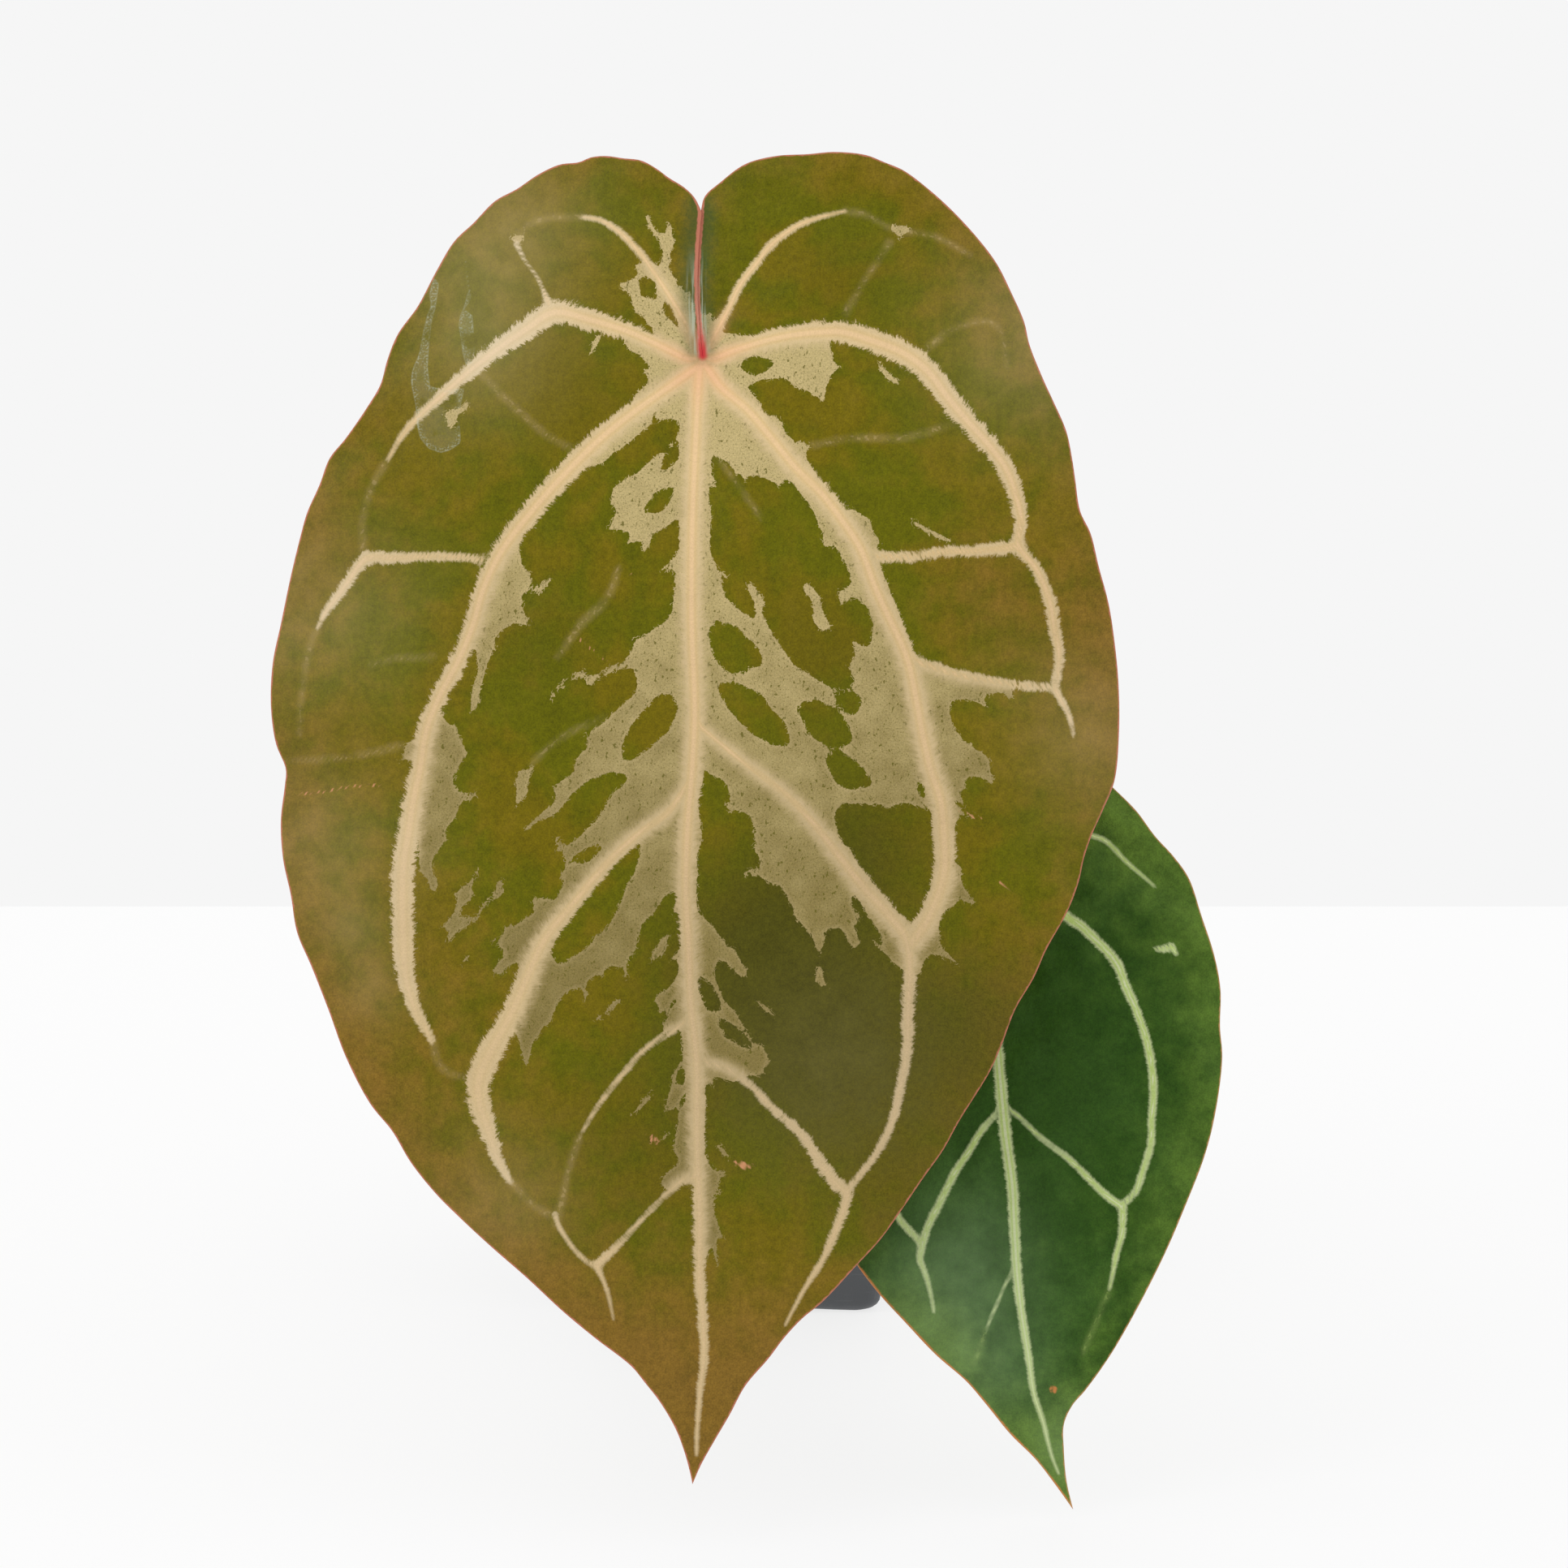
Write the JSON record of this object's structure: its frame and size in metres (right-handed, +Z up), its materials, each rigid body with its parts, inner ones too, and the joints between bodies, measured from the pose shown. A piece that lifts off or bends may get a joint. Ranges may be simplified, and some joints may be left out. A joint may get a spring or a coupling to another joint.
{
  "type": "potted variegated anthurium hybrid",
  "caption": "Aroid house plant in a square tapered nursery pot: two heart-shaped patterned leaves on long stalks rise from a short rooted stem in coarse potting mix.",
  "frame": {"origin": "middle of the pot's underside, on the surface that it stands on", "axes": "+Z up, -Y the side that the leaf blades face, +X to the right seen from there"},
  "size_m": [0.2122, 0.2541, 0.3069],
  "materials": {
    "pot": "matte charcoal moulded plastic",
    "potting_mix": "rough bark and pumice, damp and dull",
    "stem": "green and brown, ringed, dull",
    "root": "pale grey-green, velvety",
    "sheath": "dry brown, papery",
    "stalk": "smooth, satin, tinted pink at the joint",
    "blade_bronze": "velvety bronze green, cream veins, silver patches",
    "blade_green": "satin deep green, pale green veins"
  },
  "bodies": {
    "root": {"pot": "pot", "potting_mix": "potting_mix", "stem": "stem", "root_1": "root", "root_2": "root", "root_3": "root", "root_4": "root", "sheath_1": "sheath", "sheath_2": "sheath", "stalk_large": "stalk", "stalk_small": "stalk", "blade_large": "blade_bronze", "blade_small": "blade_green"}
  },
  "joints": []
}
